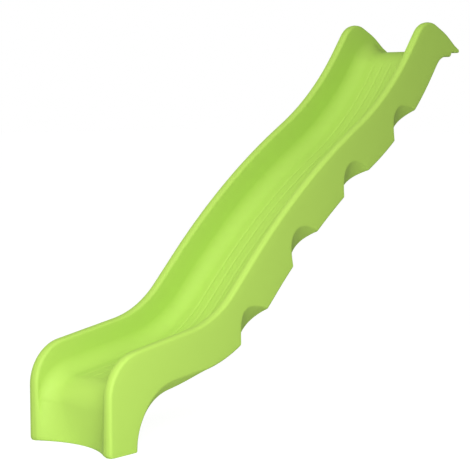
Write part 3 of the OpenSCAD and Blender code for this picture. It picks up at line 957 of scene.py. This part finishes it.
class SLIDE_OT_upper_shell(bpy.types.Operator):
    """Builds the upper shell: side walls with scoops, rims, chute with grooves and deck flange"""

    bl_idname = "slide.upper_shell"
    bl_label = "Upper shell"

    def execute(self, context):
        scene = context.scene
        body, scoops = scene.slide_body, scene.slide_scoops
        outline, rows = slices(body, scoops)
        vertices, across, along, on_pan = [], [], [], []
        for slice_now in rows:
            outer = outline.ring(slice_now.path())
            inner = outline.ring(slice_now.path(body.wall, fine=False))
            size = len(outer) // 2
            half = [0.0] * (size - FLOOR_STEPS - EDGE_STEPS) + [1.0] * (FLOOR_STEPS + EDGE_STEPS)
            across += [v[0] for v in outer] + [9.0] * len(inner)
            along += [slice_now.run[1]] * (len(outer) + len(inner))
            on_pan += half + half[::-1] + [0.0] * len(inner)
            vertices += outer + inner[::-1]
        shell = closed_shell("upper_shell_moulding", vertices, len(outer), len(inner))
        for name, values in (("across", across), ("along", along), ("on_pan", on_pan)):
            point_attribute(shell, name, values)
        applied(shell, groove_group(), {
            "Pitch": scoops.groove_pitch, "Count": scoops.groove_count, "Width": scoops.groove_w,
            "Depth": scoops.groove_depth, "Line width": scoops.line_w, "Line depth": scoops.line_depth,
            "Start": outline.pan.first_bend_end - GROOVE_OVERRUN,
            "End": outline.pan.top_bend_start + GROOVE_OVERRUN,
            "Fade": scoops.groove_fade, "Material": green_plastic(scene)})
        cut_out(shell, bush_drills(scene.slide_hardware, body), 40.0)
        stand_for(shell, "upper_shell")
        return {"FINISHED"}


class SLIDE_OT_lower_shell(bpy.types.Operator):
    """Builds the lower shell that closes the underside between the scoops"""

    bl_idname = "slide.lower_shell"
    bl_label = "Lower shell"

    STEPS = 16

    def execute(self, context):
        scene = context.scene
        body, scoops = scene.slide_body, scene.slide_scoops
        outline, rows = slices(body, scoops)
        vertices = []
        for now in rows:
            edge = now.half_w - now.reach - body.bevel - body.seam * 2
            point, normal = now.under
            xs = np.linspace(edge, -edge, self.STEPS)
            vertices += [outline.place(x, point) for x in xs]
            vertices += [outline.place(x, point + normal * body.wall) for x in xs[::-1]]
        panel = closed_shell("lower_shell_panel", vertices, self.STEPS, self.STEPS)
        panel.data.materials.append(green_plastic(scene))
        hardware = scene.slide_hardware
        cut_out(panel, bush_drills(hardware, body), 30.0)
        blow_holes = drills(hardware.vent_d / 2, -body.wall, 2 * body.wall, *plug_places(outline, scoops))
        cut_out(panel, blow_holes, 30.0)
        stand_for(panel, "lower_shell")
        return {"FINISHED"}


class SLIDE_OT_sole_plate(bpy.types.Operator):
    """Gives the plate under the foot its plastic skin"""

    bl_idname = "slide.sole_plate"
    bl_label = "Sole plate"

    def execute(self, context):
        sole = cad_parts["sole_plate"]
        sole.data.materials.clear()
        sole.data.materials.append(green_plastic(context.scene))
        return {"FINISHED"}


class SLIDE_OT_deck_bushes(bpy.types.Operator):
    """Sets the steel bushes in the deck flange"""

    bl_idname = "slide.deck_bushes"
    bl_label = "Deck bushes"

    def execute(self, context):
        scene = context.scene
        s, body = scene.slide_hardware, scene.slide_body
        bore = s.bush_bore / 2
        outside = bore + s.bush_wall
        top = 2 * body.wall + body.seam
        profile = [
            (bore, 0.0), (outside, 0.0), (outside, top), (s.bush_head_d / 2, top),
            (s.bush_head_d / 2, top + s.bush_head_t), (bore, top + s.bush_head_t)]
        bush = turned_part("bush_pattern", softened(profile, 0.0005))
        steel = shared_material("bush_steel", brushed_steel, scene.slide_finish)
        bushes = set_in_row("deck_bush_row", bush, *screw_places(s), steel)
        stand_for(bushes, "deck_bushes")
        return {"FINISHED"}


class SLIDE_OT_vent_plugs(bpy.types.Operator):
    """Sets the push-in plugs in the blow holes of the underside"""

    bl_idname = "slide.vent_plugs"
    bl_label = "Vent plugs"

    def execute(self, context):
        scene = context.scene
        s, body, scoops = scene.slide_hardware, scene.slide_body, scene.slide_scoops
        outline = Outline(body)
        shank, head = s.vent_d / 2 - s.fit, s.plug_head_d / 2
        profile = [
            (0.0, -s.plug_head_t), (head * 0.45, -s.plug_head_t), (head * 0.80, -s.plug_head_t * 0.9),
            (head * 0.95, -s.plug_head_t * 0.6), (head, -body.seam * 2), (head, -body.seam),
            (shank, -body.seam), (shank, body.wall + body.seam), (shank + 0.0008, body.wall + 0.0012),
            (shank - 0.001, body.wall + s.plug_grip), (0.0, body.wall + s.plug_grip)]
        plug = turned_part("plug_pattern", profile)
        slot = block(
            "slot_tool", (-s.plug_slot_len / 2, -s.plug_slot_w / 2, -2 * s.plug_head_t),
            (s.plug_slot_len / 2, s.plug_slot_w / 2, s.plug_slot_depth - s.plug_head_t))
        cut_out(plug, slot, 35.0)
        plugs = set_in_row("vent_plug_pair", plug, *plug_places(outline, scoops), green_plastic(scene))
        stand_for(plugs, "vent_plugs")
        return {"FINISHED"}


def area_light(name, place, aim, size, power):
    """A soft square light that faces a point."""
    light = bpy.data.lights.new(name, "AREA")
    light.size = size
    light.energy = power
    lamp = bpy.data.objects.new(name, light)
    lamp.location = place
    lamp.rotation_euler = (Vector(aim) - Vector(place)).to_track_quat("-Z", "Y").to_euler()
    bpy.context.scene.collection.objects.link(lamp)
    return lamp


class SLIDE_OT_stage(bpy.types.Operator):
    """Sets the floor, the soft studio light and the camera"""

    bl_idname = "slide.stage"
    bl_label = "Stage"

    def execute(self, context):
        scene = context.scene
        s = scene.slide_stage
        reach, below = 40.0, 0.0005
        corners = ((-reach, -reach), (reach, -reach), (reach, reach), (-reach, reach))
        floor = mesh_object("studio_floor", [(x, y, FOOT_Z - below) for x, y in corners], [(0, 1, 2, 3)])
        floor.data.materials.append(shared_material("pale_floor", pale_floor, tuple(s.floor)))
        world = bpy.data.worlds.new("studio")
        world.use_nodes = True
        world.node_tree.nodes.clear()
        net = Net(world.node_tree)
        seen = net.node("ShaderNodeLightPath", output="Is Camera Ray")
        towards = net.node("ShaderNodeTexCoord", output="Generated")
        facing = net.node(
            "ShaderNodeVectorMath", {"operation": "DOT_PRODUCT"}, {0: towards, 1: (0.50, -0.84, 0.20)},
            output="Value")
        room = s.sky * (s.back_light + (1.0 - s.back_light) * facing.part(-0.4, 0.9))
        glow = net.node("ShaderNodeBackground", {}, {
            "Color": (1.0, 1.0, 1.0, 1.0), "Strength": room + (1.0 - room) * seen})
        net.node("ShaderNodeOutputWorld", {}, {"Surface": glow})
        scene.world = world
        area_light("key_light", (2.5, -4.2, 0.35), (0.0, -1.7, -0.9), 2.2, s.key_power)
        area_light("top_light", (-0.4, -1.9, 1.5), (0.0, -1.7, -1.0), 1.6, s.fill_power)
        scene.view_settings.view_transform = "Standard"
        camera = bpy.data.cameras.new("camera")
        camera.lens = s.lens
        camera.sensor_width = 36.0
        camera.clip_end = 200.0
        viewer = bpy.data.objects.new("camera", camera)
        turned = Matrix.Rotation(s.heading, 4, "Z") @ Matrix.Rotation(math.pi / 2 - s.tilt, 4, "X")
        viewer.matrix_world = Matrix.Translation(Vector(s.eye)) @ turned
        scene.collection.objects.link(viewer)
        scene.camera = viewer
        return {"FINISHED"}


class SLIDE_PT_build(bpy.types.Panel):
    """Lists what the add-on builds"""

    bl_idname = "SLIDE_PT_build"
    bl_label = "Playground slide"
    bl_space_type = "VIEW_3D"
    bl_region_type = "UI"
    bl_category = "Slide"

    def draw(self, context):
        for operator in OPERATORS:
            self.layout.operator(operator.bl_idname)
        for key in SETTINGS:
            box = self.layout.box()
            settings = getattr(context.scene, key)
            for name in settings.__annotations__:
                box.prop(settings, name)


OPERATORS = (
    SLIDE_OT_stage, SLIDE_OT_upper_shell, SLIDE_OT_lower_shell, SLIDE_OT_sole_plate,
    SLIDE_OT_deck_bushes, SLIDE_OT_vent_plugs)


def register():
    for cls in (*SETTINGS.values(), *OPERATORS, SLIDE_PT_build):
        bpy.utils.register_class(cls)
    for key, group in SETTINGS.items():
        setattr(bpy.types.Scene, key, bpy.props.PointerProperty(type=group))


def unregister():
    for key in SETTINGS:
        delattr(bpy.types.Scene, key)
    for cls in (SLIDE_PT_build, *reversed(OPERATORS), *reversed(list(SETTINGS.values()))):
        bpy.utils.unregister_class(cls)


def main():
    register()
    bpy.ops.slide.stage()
    bpy.ops.slide.upper_shell()
    bpy.ops.slide.lower_shell()
    bpy.ops.slide.sole_plate()
    bpy.ops.slide.deck_bushes()
    bpy.ops.slide.vent_plugs()


if __name__ == "__main__":
    main()
